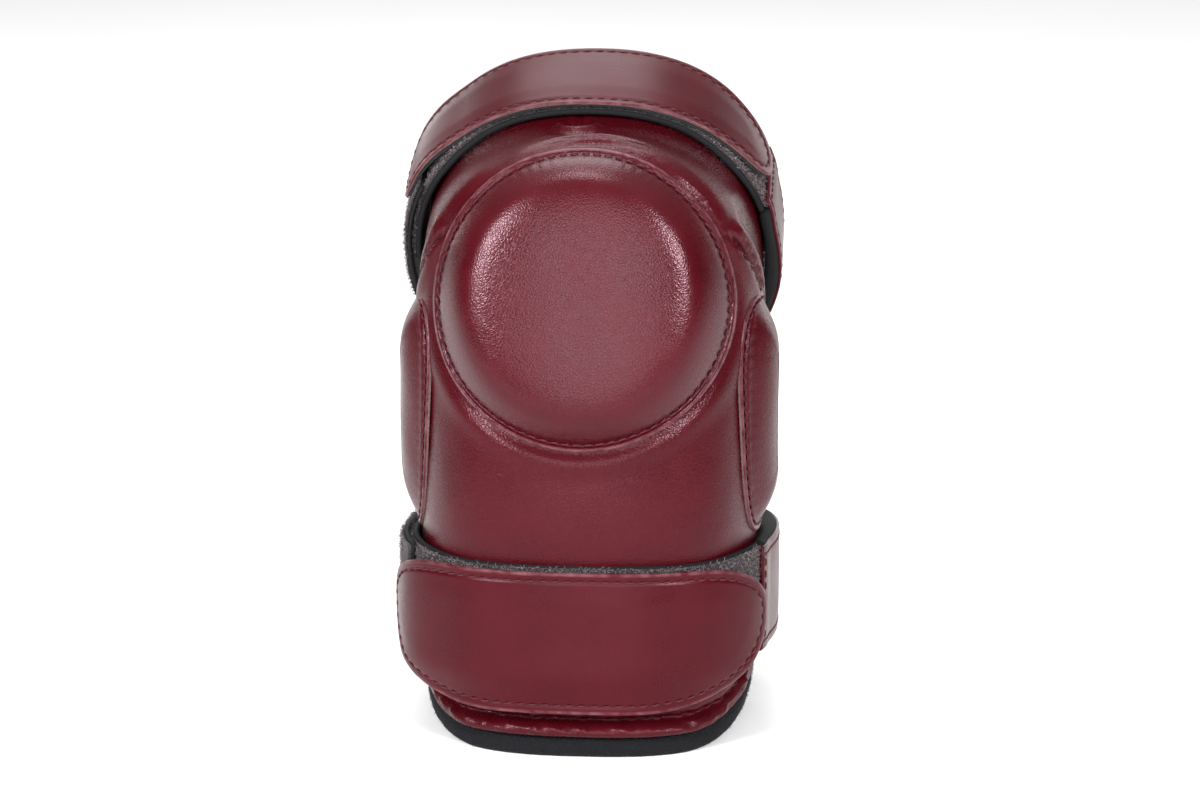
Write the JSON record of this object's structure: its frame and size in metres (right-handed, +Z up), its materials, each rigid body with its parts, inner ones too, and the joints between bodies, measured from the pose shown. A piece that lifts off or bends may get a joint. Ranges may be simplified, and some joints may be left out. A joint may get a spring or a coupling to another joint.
{
  "type": "elbow pad",
  "caption": "Strap-on padded leather limb guard with a round joint cap, side pads and hook-and-loop straps that peel open.",
  "frame": {"origin": "centre of the bounding box, on the flat foot of the felt hem that the guard stands on", "axes": "the guard's front with its round cap faces -Y, +X is the side with the strap seams, +Z up from the hem to the upper strap"},
  "size_m": [0.1342, 0.136, 0.2294],
  "materials": {
    "maroon_leather": "semi-gloss pebble grain",
    "pad_foam": "closed-cell foam",
    "black_felt": "matt felt",
    "neoprene": "matt knit-faced neoprene",
    "loop_pile": "brushed loop pile",
    "hook_tape": "matt hook tape"
  },
  "bodies": {
    "root": {"body_cover": "maroon_leather", "body_foam": "pad_foam", "body_lining": "black_felt", "hem_binding": "black_felt", "cap_cover": "maroon_leather", "cap_foam": "pad_foam", "left_side_cover": "maroon_leather", "left_side_foam": "pad_foam", "right_side_cover": "maroon_leather", "right_side_foam": "pad_foam", "upper_band": "neoprene", "upper_loop_face": "loop_pile", "lower_band": "neoprene", "lower_loop_face": "loop_pile"},
    "upper_rear_right": {"upper_rear_right_leather": "maroon_leather", "upper_rear_right_lining": "neoprene"},
    "upper_rear_left": {"upper_rear_left_leather": "maroon_leather", "upper_rear_left_lining": "neoprene"},
    "upper_tab_left": {"upper_tab_left_leather": "maroon_leather", "upper_tab_left_hook": "hook_tape"},
    "upper_tab_right": {"upper_tab_right_leather": "maroon_leather", "upper_tab_right_hook": "hook_tape"},
    "lower_rear_right": {"lower_rear_right_leather": "maroon_leather", "lower_rear_right_lining": "neoprene"},
    "lower_rear_left": {"lower_rear_left_leather": "maroon_leather", "lower_rear_left_lining": "neoprene"},
    "lower_tab_left": {"lower_tab_left_leather": "maroon_leather", "lower_tab_left_hook": "hook_tape"},
    "lower_tab_right": {"lower_tab_right_leather": "maroon_leather", "lower_tab_right_hook": "hook_tape"}
  },
  "joints": [
    {"name": "upper_strap_open", "type": "hinge", "parent": "root", "child": "upper_rear_right", "pos_m": [0.06106, 0.0279, 0.18473], "axis": [0, -0.9397, -0.342], "range_deg": [0, 30]},
    {"name": "upper_strap_back_bend", "type": "hinge", "parent": "upper_rear_right", "child": "upper_rear_left", "pos_m": [0.00015, 0.05444, 0.11182], "axis": [0, -0.9397, -0.342], "range_deg": [0, 18]},
    {"name": "upper_tab_peel", "type": "hinge", "parent": "upper_rear_left", "child": "upper_tab_left", "pos_m": [-0.06532, 0.02906, 0.18155], "axis": [0, -0.9397, -0.342], "range_deg": [0, 60]},
    {"name": "upper_tab_bend", "type": "hinge", "parent": "upper_tab_left", "child": "upper_tab_right", "pos_m": [0.00015, 0.01402, 0.22287], "axis": [0, -0.9397, -0.342], "range_deg": [0, 45]},
    {"name": "lower_strap_open", "type": "hinge", "parent": "root", "child": "lower_rear_right", "pos_m": [0.06123, -0.02404, 0.0488], "axis": [0, -0.0958, -0.9954], "range_deg": [0, 40]},
    {"name": "lower_strap_back_bend", "type": "hinge", "parent": "lower_rear_right", "child": "lower_rear_left", "pos_m": [0.00015, 0.06474, 0.04025], "axis": [0, -0.0958, -0.9954], "range_deg": [0, 24]},
    {"name": "lower_tab_peel", "type": "hinge", "parent": "lower_rear_left", "child": "lower_tab_left", "pos_m": [-0.06486, -0.02254, 0.04865], "axis": [0, -0.0958, -0.9954], "range_deg": [0, 80]},
    {"name": "lower_tab_bend", "type": "hinge", "parent": "lower_tab_left", "child": "lower_tab_right", "pos_m": [0.00015, -0.06471, 0.05271], "axis": [0, -0.0958, -0.9954], "range_deg": [0, 60]}
  ],
  "couplings": [
    {"joint": "upper_strap_back_bend", "follows": "upper_strap_open", "ratio": 0.6},
    {"joint": "upper_tab_peel", "follows": "upper_strap_open", "ratio": 2},
    {"joint": "upper_tab_bend", "follows": "upper_strap_open", "ratio": 1.5},
    {"joint": "lower_strap_back_bend", "follows": "lower_strap_open", "ratio": 0.6},
    {"joint": "lower_tab_peel", "follows": "lower_strap_open", "ratio": 2},
    {"joint": "lower_tab_bend", "follows": "lower_strap_open", "ratio": 1.5}
  ]
}
